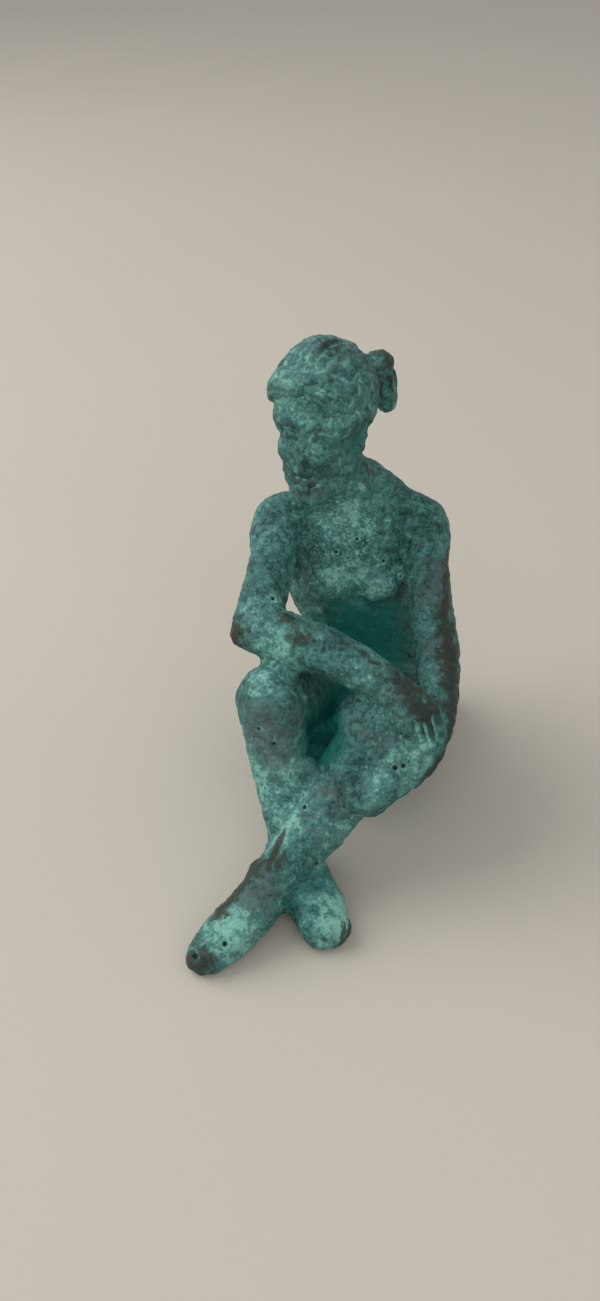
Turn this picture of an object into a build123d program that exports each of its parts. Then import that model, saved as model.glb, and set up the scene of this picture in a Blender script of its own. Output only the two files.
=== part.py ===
from build123d import *

import os

# A small bronze statuette: a seated figure with raised knees, crossed shins, folded arms and a ponytail.
# It is made the way a foundry makes a figure whose limbs cross: the trunk, head, ponytail, arms, hands, legs
# and feet are cast apart by lost wax, fitted to each other, joined on dowels, brazed and chased. The trunk is
# cast round a core, which leaves a hollow, a core hole in the seat and core pins in the wall.
#
# Frame, in millimetres: +Z up, the figure faces -Y and its left side is +X. The origin is the middle of the
# flat face that it sits on.

# ---- driving dimensions -----------------------------------------------------------------------------------
PELVIS = (27.5, 19.0, 17.0)  # half-widths of the hips: across, front to back, up
PELVIS_HEIGHT = 13.0
WALL = 4.5  # the trunk's wall round its core
CORE_HOLE_RADIUS = 5.0
CORE_PLUG_THICKNESS = 3.5
CORE_PIN_RADIUS = 0.7
CORE_PIN_REACH = 30.0  # long enough to cross the wall from the hollow at any place
FLOOR_DEPTH = 40.0  # everything below the resting face is cut away
SEAM_TURN = Rotation(25, 15, 130)
PROUD = 1.02  # a rounded end is this much wider than the limb that it ends

KNEE_RADIUS = 9.4
ANKLE_RADIUS = 6.2
ELBOW_RADIUS = 6.8
NECK_RADIUS = 7.6
FINGER_RADIUS = 1.8

# Dowels: radius, length in the first casting, length in the second.
NECK_DOWEL = (2.2, 7.0, 9.0)
SHOULDER_DOWEL = (1.9, 7.0, 8.0)
HIP_DOWEL = (2.6, 8.0, 14.0)
WRIST_DOWEL = (1.2, 4.0, 3.5)
ANKLE_DOWEL = (1.7, 5.0, 5.0)
HAIR_DOWEL = (1.1, 5.0, 4.0)
REST_DOWEL = (0.8, 4.0, 3.5)
FINGER_DOWEL = (0.6, 3.0, 2.0)

# ---- the skeleton: the middle of each joint -----------------------------------------------------------------
HIP_LEFT, HIP_RIGHT = Vector(13, -3, 14.5), Vector(-12.5, -3, 14.5)
KNEE_LEFT, KNEE_RIGHT = Vector(-3.4, -53.5, 42), Vector(-30.7, -51.2, 48.4)
ANKLE_LEFT, ANKLE_RIGHT = Vector(-29.9, -85, 13.3), Vector(-24.2, -69.5, 9.5)
SHOULDER_LEFT, SHOULDER_RIGHT = Vector(13.4, -0.5, 76), Vector(-27.8, -5, 79)
ELBOW_LEFT, ELBOW_RIGHT = Vector(17.0, -29, 49.7), Vector(-34.8, -39, 63.6)
WRIST_LEFT, WRIST_RIGHT = Vector(13.2, -60, 40.6), Vector(2.0, -54, 55.4)
PALM_LEFT, PALM_RIGHT = Vector(8.6, -64.8, 36.6), Vector(6.2, -58.2, 52.8)
KNUCKLES_LEFT, KNUCKLES_RIGHT = Vector(3.6, -68.2, 32.6), Vector(9.2, -61.6, 49.6)
INSTEP_LEFT, INSTEP_RIGHT = Vector(-34.3, -90.4, 9.6), Vector(-21, -77, 8.2)
CALF_LEFT, CALF_RIGHT = Vector(2.6, 1.6, -2.8), Vector(-0.3, 1.8, -0.8)  # from the shin's straight line
NECK = Vector(-10.8, -4.6, 93.5)
HEAD = Vector(-16.4, -10, 113)
FOREARM_RISE = Vector(0, 0.6, 1.6)  # the right forearm's curve above the line from elbow to wrist
HEAD_TURN, HEAD_BOW = 22.0, 2.0  # degrees: turned to the figure's right, bowed forward
HAIR_ROOT, HAIR_TIE, HAIR_END = Vector(-7.5, 0, 123.5), Vector(-0.3, 6, 122.4), Vector(2.2, 9, 110)


# ---- shapes that the castings are built from ------------------------------------------------------------------
def middle(start, end, share=0.5):
    return start + (end - start) * share


def towards(start, end):
    return (end - start).normalized()


def ball(half_sizes):
    """An ellipsoid about the origin. Its seam is turned away from the seams of the limbs that it joins."""
    return scale(SEAM_TURN * Sphere(1), by=half_sizes)


def ellipsoid(centre, half_sizes):
    return Pos(*centre) * ball(half_sizes)


def directions(points):
    """The direction of a line of points at each of them: the mean of its two runs."""
    runs = [towards(a, b) for a, b in zip(points, points[1:])]
    befores, afters = [runs[0], *runs], [*runs, runs[-1]]
    return [(before + after).normalized() for before, after in zip(befores, afters)]


def across_plane(centre, normal, side):
    """The plane across a limb at centre, with its x axis as near to side as it can be."""
    flat_side = side - normal * side.dot(normal)
    return Plane(origin=centre, x_dir=flat_side.normalized(), z_dir=normal)


def limb(*stations, side=Vector(1, 0, 0), round_start=True, round_end=True):
    """A smooth solid through elliptical stations (centre, half-width along side, half-width across side)."""
    points = [Vector(station[0]) for station in stations]
    planes = [across_plane(point, normal, side) for point, normal in zip(points, directions(points))]
    outlines = [(plane * Ellipse(*station[1:])).wire() for plane, station in zip(planes, stations)]
    shape = Solid.make_loft(outlines)
    for is_round, end in ((round_start, 0), (round_end, -1)):
        if is_round:
            _, wide, deep = stations[end]
            shape += planes[end] * ball((wide * PROUD, deep * PROUD, (wide + deep) / 2))
    return shape


def in_head(*place):
    """A place in the head's own axes: x to its left, y to its back, z to its crown, from its middle."""
    return Location(HEAD) * Rotation(0, 0, -HEAD_TURN) * Rotation(HEAD_BOW, 0, 0) * Pos(*place)


def head_point(x, y, z):
    return in_head(x, y, z).position


def biggest(shape):
    return max(shape.solids(), key=lambda solid: solid.volume)


def fitted(casting, *neighbours):
    """A casting trimmed to rest on its neighbours and on the surface that the statuette stands on."""
    for neighbour in neighbours:
        casting = biggest(casting - neighbour)
    return casting


def dowel(where, direction, size):
    """A dowel across a joint at where, as long in each casting as size says."""
    radius, behind, ahead = size
    start = Plane(origin=where - direction * behind, z_dir=direction)
    return start * Cylinder(radius, behind + ahead, align=(Align.CENTER, Align.CENTER, Align.MIN))


# ---- trunk -----------------------------------------------------------------------------------------------------
TORSO = [  # from the hips to the neck: middle, half-width across, half-width front to back
    ((0, 0, 16), 25.0, 17.0),
    ((0, 0.5, 25), 20.5, 15.0),
    ((-1.5, 1.5, 36), 16.8, 12.0),
    ((-5.5, 1, 50), 18.6, 12.4),
    ((-8.2, -0.5, 63), 19.2, 12.5),
    ((-8, -1.5, 73), 19.0, 11.6),
    ((-7.5, -2, 80), 17.5, 9.8),
    ((-7.8, -2.6, 86), 14.0, 8.2),
]


def torso(inset=0.0, stations=TORSO):
    thinner = [(centre, wide - inset, deep - inset) for centre, wide, deep in stations]
    return limb(*thinner, round_start=False, round_end=inset > 0)


def trunk_outside():
    body = torso()
    body += ellipsoid((0, 0, PELVIS_HEIGHT), PELVIS)
    for side in (-1, 1):
        body += ellipsoid((side * 14.0, 3.5, 12.0), (13.5, 15.5, 15.0))  # buttocks
    body += ellipsoid((-22, -3.5, 76.5), (9.0, 8.0, 8.2))  # right shoulder blade and collar
    body += ellipsoid((7.0, -0.8, 74.5), (9.5, 8.0, 8.2))  # left shoulder blade and collar
    for x in (-14.8, -0.2):
        body += ellipsoid((x, -8.3, 61.5), (6.8, 6.5, 6.4))  # chest
    body += ellipsoid((-6, -20.5, 11.5), (15.5, 15.5, 13.5))  # the web of metal between the thighs
    body += limb(
        ((-6.0, -2.2, 80), 15.5, 8.4),
        ((-7.8, -3.4, 87), 12.4, 7.8),
        (NECK, NECK_RADIUS + 1.2, NECK_RADIUS),
        round_start=False,
        round_end=False,
    )
    return fitted(body, floor)


def core_hole(depth):
    return Cylinder(CORE_HOLE_RADIUS, depth, align=(Align.CENTER, Align.CENTER, Align.MIN))


def core():
    """The hollow that the core leaves, with the hole that it was broken out through."""
    across, deep, high = PELVIS
    hollow = torso(WALL, TORSO[1:7])
    hollow += ellipsoid((0, 0, PELVIS_HEIGHT + WALL), (across - WALL, deep - WALL, high - WALL))
    return hollow + core_hole(PELVIS_HEIGHT)


# ---- head and ponytail --------------------------------------------------------------------------------------------
def head_outside():
    skull = in_head(0, 2, 6.0) * ball((12.5, 14.5, 14.9))
    skull += in_head(0, -3, -5.5) * ball((9.8, 11.2, 15.0))  # face
    skull += in_head(0, -8.2, -16.0) * ball((4.6, 4.6, 4.2))  # chin
    skull += in_head(0, -12.8, -3.5) * Rotation(-14, 0, 0) * ball((1.8, 3.0, 4.2))  # nose
    for side in (-1, 1):
        skull += in_head(side * 10.4, 2.5, -2.5) * ball((2.0, 3.0, 4.2))  # ears
    skull += limb(
        (NECK, NECK_RADIUS + 1.2, NECK_RADIUS),
        (head_point(2.0, 3.5, -12), NECK_RADIUS, NECK_RADIUS),
        (head_point(1.0, 3.0, -5), NECK_RADIUS, NECK_RADIUS),
        round_start=False,
    )
    return skull


def ponytail_outside():
    lock = limb(
        (HAIR_ROOT, 3.6, 4.4),
        (middle(HAIR_ROOT, HAIR_TIE), 3.0, 3.4),
        (HAIR_TIE, 3.2, 3.4),
        side=Vector(0, 1, 0),
    )
    return lock + limb(
        (HAIR_TIE, 3.4, 3.2),
        (middle(HAIR_TIE, HAIR_END), 3.6, 3.1),
        (HAIR_END, 3.2, 2.8),
        side=Vector(0, 1, 0),
    )


# ---- legs and feet ---------------------------------------------------------------------------------------------------
def leg_outside(hip, knee, ankle, calf):
    """A bent leg: calf is how far the calf stands out from the shin's straight line."""
    thigh = limb(
        (hip, 14.0, 13.5),
        (middle(hip, knee, 0.3), 13.4, 13.2),
        (middle(hip, knee, 0.62), 11.4, 11.4),
        (middle(hip, knee, 0.88), 9.8, 9.8),
        (knee, KNEE_RADIUS, KNEE_RADIUS),
    )
    shin = limb(
        (knee, KNEE_RADIUS - 0.3, KNEE_RADIUS - 0.2),
        (middle(knee, ankle, 0.3) + calf, 8.4, 8.8),
        (middle(knee, ankle, 0.62) + calf * 0.8, 7.2, 7.6),
        (ankle, ANKLE_RADIUS, ANKLE_RADIUS),
        side=Vector(1, 1, 0),
        round_start=False,
        round_end=False,
    )
    return thigh + shin


def foot_outside(ankle, heel, *stations):
    """A foot from its ankle to its toes: stations are (middle, half-width across, half-height)."""
    across = towards(ankle, Vector(stations[-1][0])).cross(Vector(0, 0, 1)).normalized()
    sole = limb((ankle, ANKLE_RADIUS, ANKLE_RADIUS), *stations, side=across, round_start=False)
    return sole + ellipsoid(heel, (5.8, 5.8, 6.2))


# ---- arms and hands -----------------------------------------------------------------------------------------------------
def right_arm_outside():
    upper = limb(
        (SHOULDER_RIGHT, 7.6, 7.6),
        (middle(SHOULDER_RIGHT, ELBOW_RIGHT, 0.4), 6.8, 7.2),
        (middle(SHOULDER_RIGHT, ELBOW_RIGHT, 0.8), 6.8, 6.8),
        (ELBOW_RIGHT, ELBOW_RADIUS, ELBOW_RADIUS),
    )
    fore = limb(
        (ELBOW_RIGHT, ELBOW_RADIUS, ELBOW_RADIUS),
        (middle(ELBOW_RIGHT, WRIST_RIGHT, 0.33) + FOREARM_RISE, 7.2, 6.9),
        (middle(ELBOW_RIGHT, WRIST_RIGHT, 0.66) + FOREARM_RISE, 6.8, 6.4),
        (WRIST_RIGHT, 5.5, 5.0),
        side=Vector(0, 1, 0),
        round_start=False,
        round_end=False,
    )
    return upper + fore


def left_arm_outside():
    return limb(
        (SHOULDER_LEFT, 7.6, 7.6),
        ((15.6, -14, 61.5), 6.6, 7.0),
        (ELBOW_LEFT, ELBOW_RADIUS - 0.2, ELBOW_RADIUS),
        ((16.4, -45, 44), 6.0, 6.0),
        (WRIST_LEFT, 4.8, 4.8),
        round_end=False,
    )


def hand_outside(wrist, palm, knuckles, tips, thumb, across):
    """A palm with four fingers side by side and a thumb: across points over the knuckles."""
    hand = limb((wrist, 4.6, 4.4), (palm, 5.4, 4.0), (knuckles, 5.6, 3.0), side=across,
                round_start=False)
    for place in (-1.5, -0.5, 0.5, 1.5):
        spread = across * place * FINGER_RADIUS * 1.7
        start, end = knuckles + spread, tips + spread * 0.8
        hand += limb((start, 2.1, 2.1), (end, FINGER_RADIUS, FINGER_RADIUS), side=across)
    return hand + limb((palm, 2.4, 2.4), (thumb, 1.9, 1.9), side=across)


# ---- the castings, each fitted to those before it ----------------------------------------------------------------------
floor = Pos(0, -40, 0) * Box(300, 300, FLOOR_DEPTH, align=(Align.CENTER, Align.CENTER, Align.MAX))

trunk = trunk_outside()
head = fitted(head_outside(), trunk)
ponytail = fitted(ponytail_outside(), head)
right_leg = fitted(leg_outside(HIP_RIGHT, KNEE_RIGHT, ANKLE_RIGHT, CALF_RIGHT), floor, trunk)
left_leg = leg_outside(HIP_LEFT, KNEE_LEFT, ANKLE_LEFT, CALF_LEFT)
left_leg = fitted(left_leg, floor, trunk, right_leg)
right_foot = foot_outside(
    ANKLE_RIGHT,
    (-25.8, -66.0, 5.6),
    (INSTEP_RIGHT, 6.0, 5.8),
    ((-17.4, -86.5, 6.0), 6.6, 5.0),
    ((-14.4, -95.6, 4.0), 5.8, 3.6),
)
right_foot = fitted(right_foot, floor, right_leg, left_leg)
left_foot = foot_outside(
    ANKLE_LEFT,
    (-27.0, -80.2, 6.0),
    (INSTEP_LEFT, 6.8, 6.4),
    ((-39.4, -96.4, 6.6), 7.4, 5.4),
    ((-44.8, -102.2, 4.2), 6.8, 3.8),
)
left_foot = fitted(left_foot, floor, left_leg, right_leg, right_foot)
right_arm = fitted(right_arm_outside(), trunk, right_leg, left_leg)
left_arm = fitted(left_arm_outside(), trunk, left_leg)
left_hand = hand_outside(
    WRIST_LEFT,
    palm=PALM_LEFT,
    knuckles=KNUCKLES_LEFT,
    tips=Vector(-2.8, -71.8, 27.2),
    thumb=Vector(5.0, -68.0, 40.0),
    across=Vector(0.55, -0.1, -0.8).normalized(),
)
left_hand = fitted(left_hand, left_arm, left_leg)
right_hand = hand_outside(
    WRIST_RIGHT,
    palm=PALM_RIGHT,
    knuckles=KNUCKLES_RIGHT,
    tips=Vector(11.6, -66.0, 43.8),
    thumb=Vector(3.2, -62.0, 47.6),
    across=Vector(0.75, 0.6, 0.1).normalized(),
)
right_hand = fitted(right_hand, right_arm, left_leg, left_arm, left_hand)

castings = {
    "trunk": biggest(trunk - core()),
    "head": head,
    "ponytail": ponytail,
    "right_leg": right_leg,
    "left_leg": left_leg,
    "right_foot": right_foot,
    "left_foot": left_foot,
    "right_arm": right_arm,
    "left_arm": left_arm,
    "left_hand": left_hand,
    "right_hand": right_hand,
}

# ---- dowels, core pins and plug ---------------------------------------------------------------------------------------------
# The middles of two castings where one rests on another.
CALF_UNDER_HAND = Vector(-7.6, -62.6, 29.8)
SHIN_LEFT, SHIN_RIGHT = Vector(-20.4, -74.7, 20.1), Vector(-25.1, -66.6, 14.4)

# Each joint: the two castings, a place in the first and a place in the second, how far along the line from
# one to the other the castings meet, and the dowel across it.
JOINTS = {
    "neck_dowel": [("trunk", "head", NECK, head_point(0, 3, -13), 0.0, NECK_DOWEL)],
    "hair_dowel": [("head", "ponytail", HAIR_ROOT, HAIR_TIE, 0.2, HAIR_DOWEL)],
    "shoulder_dowels": [
        ("trunk", "right_arm", Vector(-20, -3.5, 76), SHOULDER_RIGHT, 0.9, SHOULDER_DOWEL),
        ("trunk", "left_arm", Vector(5, -1, 74.5), SHOULDER_LEFT, 0.9, SHOULDER_DOWEL),
    ],
    "hip_dowels": [
        ("trunk", "right_leg", HIP_RIGHT, KNEE_RIGHT, 0.24, HIP_DOWEL),
        ("trunk", "left_leg", HIP_LEFT, KNEE_LEFT, 0.24, HIP_DOWEL),
    ],
    "wrist_dowels": [
        ("right_arm", "right_hand", WRIST_RIGHT, PALM_RIGHT, 0.0, WRIST_DOWEL),
        ("left_arm", "left_hand", WRIST_LEFT, PALM_LEFT, 0.0, WRIST_DOWEL),
    ],
    "rest_dowels": [
        ("right_leg", "right_arm", KNEE_RIGHT, middle(ELBOW_RIGHT, WRIST_RIGHT, 0.28), 0.57, REST_DOWEL),
        ("left_leg", "right_arm", KNEE_LEFT, middle(ELBOW_RIGHT, WRIST_RIGHT, 0.9), 0.64, REST_DOWEL),
        ("right_leg", "left_leg", SHIN_RIGHT, SHIN_LEFT, 0.5, REST_DOWEL),
        ("left_leg", "left_hand", CALF_UNDER_HAND, KNUCKLES_LEFT, 0.64, FINGER_DOWEL),
    ],
    "ankle_dowels": [
        ("right_leg", "right_foot", ANKLE_RIGHT, INSTEP_RIGHT, 0.0, ANKLE_DOWEL),
        ("left_leg", "left_foot", ANKLE_LEFT, INSTEP_LEFT, 0.0, ANKLE_DOWEL),
    ],
}
CORE_PINS = [Vector(-13, 0, 20), Vector(12, 0, 20), Vector(-4, 0, 46), Vector(-8, -1, 68)]

hardware = {}
for name, crossings in JOINTS.items():
    pins = []
    for first, second, start, end, share, size in crossings:
        pin = dowel(middle(start, end, share), towards(start, end), size)
        pins.append(pin)
        for casting in (first, second):
            castings[casting] = biggest(castings[casting] - pin)
    hardware[name] = pins

hardware["core_pins"] = []
for inside in CORE_PINS:
    rod = dowel(inside, Vector(0, 1, 0), (CORE_PIN_RADIUS, 0.0, CORE_PIN_REACH))
    hardware["core_pins"].append(biggest(rod & castings["trunk"]))
    castings["trunk"] = biggest(castings["trunk"] - rod)
hardware["core_plug"] = [core_hole(CORE_PLUG_THICKNESS)]

# ---- files ---------------------------------------------------------------------------------------------------------------------
os.makedirs("parts", exist_ok=True)
for name, casting in castings.items():
    export_step(casting, f"parts/{name}.step")
for name, pieces in hardware.items():
    solids = [biggest(piece) for piece in pieces]
    export_step(solids[0] if len(solids) == 1 else Compound(children=solids), f"parts/{name}.step")
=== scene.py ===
import bpy
import numpy as np
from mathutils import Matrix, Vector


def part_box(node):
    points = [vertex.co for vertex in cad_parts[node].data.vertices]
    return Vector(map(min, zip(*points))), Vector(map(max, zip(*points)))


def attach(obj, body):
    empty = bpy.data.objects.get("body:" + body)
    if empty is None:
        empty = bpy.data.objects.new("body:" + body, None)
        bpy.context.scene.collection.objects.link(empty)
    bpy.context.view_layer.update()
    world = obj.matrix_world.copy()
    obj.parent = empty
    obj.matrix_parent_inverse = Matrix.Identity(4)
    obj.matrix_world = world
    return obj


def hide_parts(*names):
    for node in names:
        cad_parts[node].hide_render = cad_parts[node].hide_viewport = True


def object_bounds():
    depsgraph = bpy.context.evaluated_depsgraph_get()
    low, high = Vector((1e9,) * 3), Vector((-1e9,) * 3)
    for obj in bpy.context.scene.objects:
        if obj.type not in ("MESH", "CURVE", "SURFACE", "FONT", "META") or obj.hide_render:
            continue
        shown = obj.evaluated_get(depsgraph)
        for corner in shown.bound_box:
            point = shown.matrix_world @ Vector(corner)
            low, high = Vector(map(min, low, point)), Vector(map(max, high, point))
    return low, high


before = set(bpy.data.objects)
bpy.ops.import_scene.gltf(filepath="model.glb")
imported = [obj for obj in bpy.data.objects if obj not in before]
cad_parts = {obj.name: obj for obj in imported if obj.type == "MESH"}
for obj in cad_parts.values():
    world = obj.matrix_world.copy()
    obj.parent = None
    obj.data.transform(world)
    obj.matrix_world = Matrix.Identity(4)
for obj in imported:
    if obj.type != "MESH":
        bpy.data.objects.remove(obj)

import openvdb
from mathutils import Matrix, Vector

# A small seated bronze statuette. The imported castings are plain. Here they are joined in one field of signed
# distances, modelled as wax is, with strokes that add and take away, and cut apart again into closed meshes,
# one for each casting and two for the trunk. The sculpting is in millimetres, the scene in metres.

MM = 0.001
CAD_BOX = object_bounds()

VOXEL = 0.4
BAND = 5.0  # how far from a casting's surface its distances are true
MARGIN = 4.0  # empty space round the figure
SMOOTHING = 1.1  # rounds off the seams between the plain castings
WAIST = 52.0  # the height above the seat at which the trunk is cut in two
GROUND_GAP = 0.03  # between the flat underside and the plane that it sits on
RINGS = 8  # rings of faces in the cap that closes a piece
CAP_STEP, CAP_DEPTH = 0.45, 1.3  # how much deeper each ring lies in the metal than the last, and the most
SMALL_PITS = 230
CREASE = 1.7  # gaps and creases narrower than twice this are filled, as they are in a rough casting

CASTINGS = [
    "trunk", "head", "ponytail", "right_arm", "left_arm", "right_hand", "left_hand",
    "right_leg", "left_leg", "right_foot", "left_foot",
]
FITTINGS = [
    "core_plug", "core_pins", "neck_dowel", "hair_dowel", "shoulder_dowels", "hip_dowels",
    "wrist_dowels", "ankle_dowels", "rest_dowels",
]
random = np.random.default_rng(11)


# ---- places on the figure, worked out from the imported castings
def corners(node):
    low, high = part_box(node)
    return np.array(low) / MM, np.array(high) / MM


def surface_of(node):
    """A packed casting's points, in millimetres, and its triangles."""
    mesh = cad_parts[node].data
    mesh.calc_loop_triangles()
    points = np.empty(len(mesh.vertices) * 3, np.float32)
    mesh.vertices.foreach_get("co", points)
    triangles = np.empty(len(mesh.loop_triangles) * 3, np.int32)
    mesh.loop_triangles.foreach_get("vertices", triangles)
    return {"points": points.reshape(-1, 3) / MM, "triangles": triangles.reshape(-1, 3).astype(np.uint32)}


def at(x, y, z):
    return np.array([x, y, z], float)


def spot(node, x, y, z):
    """A point in a casting's box: 0 is its lowest corner and 1 its highest, in each direction."""
    low, high = corners(node)
    return low + (high - low) * at(x, y, z)


def between(a, b, share=0.5):
    return a + (b - a) * share


def unit(direction):
    return direction / np.linalg.norm(direction)


def towards(a, b):
    return unit(b - a)


def square(direction, wish):
    """The unit vector across direction that is nearest to wish."""
    return unit(wish - direction * (wish @ direction))


def facing(direction, way):
    """The direction or its opposite, whichever points more that way."""
    return direction if direction @ way > 0 else -direction


def axes(first, wish):
    """Three axes, as columns: first, one across both, and one as near to wish as it can be."""
    third = square(first, wish)
    return np.stack([first, np.cross(third, first), third], axis=1)


FRONT, BACK, UP, LEFT = at(0, -1, 0), at(0, 1, 0), at(0, 0, 1), at(1, 0, 0)
PLAIN = np.eye(3)
# two lines in from the front and above, as the figure is seen: one to pits in the skin, and one along cuts
PIT_LINE = at(0, 0.82, -0.57)
CUT_LINE = at(0, 0.819, -0.574)


def pair(part, left, right):
    """The same landmark on both sides of the figure: 1 is its left and -1 its right."""
    return {1: spot("left_" + part, *left), -1: spot("right_" + part, *right)}


HIPS = pair("leg", (0.77, 0.95, 0.23), (0.74, 0.93, 0.19))
KNEES = pair("leg", (0.51, 0.39, 0.8), (0.26, 0.31, 0.82))
ANKLES = pair("leg", (0.08, 0.05, 0.21), (0.43, 0.07, 0.1))
INSTEPS = pair("foot", (0.58, 0.53, 0.51), (0.46, 0.58, 0.59))
BALLS = pair("foot", (0.4, 0.35, 0.35), (0.62, 0.35, 0.43))
TOES = pair("foot", (0.22, 0.18, 0.22), (0.75, 0.12, 0.29))
HEELS = pair("foot", (0.84, 0.83, 0.32), (0.25, 0.86, 0.4))
SHOULDERS = pair("arm", (0.36, 0.89, 0.84), (0.3, 0.88, 0.79))
ELBOWS = pair("arm", (0.58, 0.47, 0.29), (0.15, 0.33, 0.36))
WRISTS = pair("arm", (0.35, 0.02, 0.1), (0.94, 0.08, 0.13))
PALMS = pair("hand", (0.65, 0.58, 0.64), (0.4, 0.61, 0.63))
KNUCKLES = pair("hand", (0.44, 0.37, 0.46), (0.58, 0.43, 0.45))
TIPS = pair("hand", (0.17, 0.14, 0.22), (0.72, 0.21, 0.12))
FINGERS = (-1.5, -0.5, 0.5, 1.5)  # their places across a hand, a finger's width apart
# the way across each hand, along its knuckles
ACROSS = {1: unit(at(0.55, -0.1, -0.8)), -1: unit(at(0.75, 0.6, 0.1))}
NECK = spot("trunk", 0.35, 0.57, 0.96)
SKULL = spot("head", 0.47, 0.48, 0.52)
HEAD_TURN, HEAD_NOD = np.radians(-22), np.radians(2)
HEAD_AXES = np.array(Matrix.Rotation(HEAD_TURN, 3, "Z") @ Matrix.Rotation(HEAD_NOD, 3, "X"))
HAIR_ROOT = spot("ponytail", 0.11, 0.16, 0.79)
HAIR_TIE = spot("ponytail", 0.62, 0.57, 0.73)
HAIR_END = spot("ponytail", 0.8, 0.78, 0.14)


def in_head(x, y, z):
    """A point in the head's own axes: x to its left, y to its back, z to its crown, from its middle."""
    return SKULL + HEAD_AXES @ at(x, y, z)


def body(x, y, z):
    """A point of the trunk, from the middle of the seat."""
    low, high = corners("core_plug")
    return at((low[0] + high[0]) / 2, (low[1] + high[1]) / 2, low[2]) + at(x, y, z)


# ---- the field
def distances_on_grid(surface, size, reach, start, shape):
    """The distances to a closed surface, as far as reach, on a grid of samples that are size apart."""
    place = openvdb.createLinearTransform(size)
    grid = openvdb.FloatGrid.createLevelSetFromPolygons(**surface, transform=place, halfWidth=reach / size)
    distances = np.empty(shape, np.float32)
    grid.copyToArray(distances, ijk=tuple(int(n) for n in start))
    return distances


class Field:
    """Signed distances on a grid over the whole figure, in millimetres, negative inside the metal."""

    def __init__(self, low, high):
        self.start = np.floor((low - MARGIN) / VOXEL).astype(int)
        stop = np.ceil((high + MARGIN) / VOXEL).astype(int)
        self.shape = tuple(int(n) for n in stop - self.start + 1)
        self.axes = [(self.start[i] + np.arange(self.shape[i])).astype(np.float32) * VOXEL for i in range(3)]
        self.metal = np.full(self.shape, BAND, np.float32)

    def window(self, low, high):
        """The part of the grid between two corners, and the coordinates there."""
        first = np.clip(np.floor(np.array(low) / VOXEL).astype(int) - self.start, 0, np.array(self.shape) - 1)
        last = np.clip(np.ceil(np.array(high) / VOXEL).astype(int) - self.start + 1, 1, np.array(self.shape))
        cut = tuple(slice(int(a), int(b)) for a, b in zip(first, last))
        x, y, z = (axis[part] for axis, part in zip(self.axes, cut))
        return cut, x[:, None, None], y[None, :, None], z[None, None, :]

    def distances(self, surface):
        """The distances to one surface, over the whole grid."""
        return distances_on_grid(surface, VOXEL, BAND, self.start, self.shape)


figure = Field(np.array(CAD_BOX[0]) / MM, np.array(CAD_BOX[1]) / MM)


def sampled(values, place):
    """The values of a grid at places in it, linearly between its samples."""
    low = np.clip(np.floor(place).astype(int), 0, np.array(values.shape) - 2)
    part = (place - low).astype(np.float32)
    total = np.zeros(len(place), np.float32)
    for corner in range(8):
        step = np.array([corner & 1, corner >> 1 & 1, corner >> 2 & 1])
        weight = np.prod(np.where(step, part, 1 - part), axis=1)
        total += weight * values[tuple((low + step).T)]
    return total


def felt(places):
    """The distance to the metal at some places, and the direction away from it."""
    place = places / VOXEL - figure.start
    slope = [sampled(figure.metal, place + step) - sampled(figure.metal, place - step) for step in PLAIN]
    slope = np.stack(slope, axis=1)
    steepness = np.linalg.norm(slope, axis=1, keepdims=True)
    return sampled(figure.metal, place), slope / np.maximum(steepness, 0.3)


def segment_distance(x, y, z, start, end):
    """The distance to a segment, and how far along it the nearest point is, from 0 to 1."""
    run = end - start
    length = float(run @ run) or 1.0
    share = ((x - start[0]) * run[0] + (y - start[1]) * run[1] + (z - start[2]) * run[2]) / length
    share = np.clip(share, 0.0, 1.0)
    dx = x - start[0] - share * run[0]
    dy = y - start[1] - share * run[1]
    dz = z - start[2] - share * run[2]
    return np.sqrt(dx * dx + dy * dy + dz * dz), share


def smooth_union(a, b, blend):
    mix = np.maximum(blend - np.abs(a - b), 0.0) / blend
    return np.minimum(a, b) - mix * mix * blend * 0.25


def rod(points, radii, blend):
    """Adds a rod of wax along points, with a radius at each, blended into what is there."""
    reach = max(radii) + blend + VOXEL
    low, high = np.min(points, axis=0) - reach, np.max(points, axis=0) + reach
    cut, x, y, z = figure.window(low, high)
    wax = None
    for start, end, r0, r1 in zip(points, points[1:], radii, radii[1:]):
        distance, share = segment_distance(x, y, z, start, end)
        distance = distance - (r0 + (r1 - r0) * share)
        wax = distance if wax is None else np.minimum(wax, distance)
    figure.metal[cut] = smooth_union(figure.metal[cut], wax, blend)


def lump(centre, halves, blend, turn=PLAIN, carve=False):
    """Adds an ellipsoid of wax, or carves one away. turn is a 3 by 3 matrix of the ellipsoid's own axes."""
    halves = np.array(halves, float)
    reach = max(halves) + blend + VOXEL
    cut, x, y, z = figure.window(centre - reach, centre + reach)
    away = [x - centre[0], y - centre[1], z - centre[2]]
    own = [sum(away[i] * turn[i, k] for i in range(3)) for k in range(3)]
    near = np.sqrt(sum((own[k] / halves[k]) ** 2 for k in range(3)))
    slope = np.sqrt(sum((own[k] / halves[k] ** 2) ** 2 for k in range(3)))
    wax = near * (near - 1.0) / np.maximum(slope, 1e-6)
    if carve:
        figure.metal[cut] = -smooth_union(-figure.metal[cut], wax, blend)
    else:
        figure.metal[cut] = smooth_union(figure.metal[cut], wax, blend)


def stroke(points, width, height):
    """Raises the surface by height along a line of points, or presses it in where height is negative."""
    reach = width * 2.2
    low, high = np.min(points, axis=0) - reach, np.max(points, axis=0) + reach
    cut, x, y, z = figure.window(low, high)
    nearest = None
    for start, end in zip(points, points[1:]):
        distance, _ = segment_distance(x, y, z, start, end)
        nearest = distance if nearest is None else np.minimum(nearest, distance)
    figure.metal[cut] -= height * np.exp(-(nearest / width) ** 2)


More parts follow.
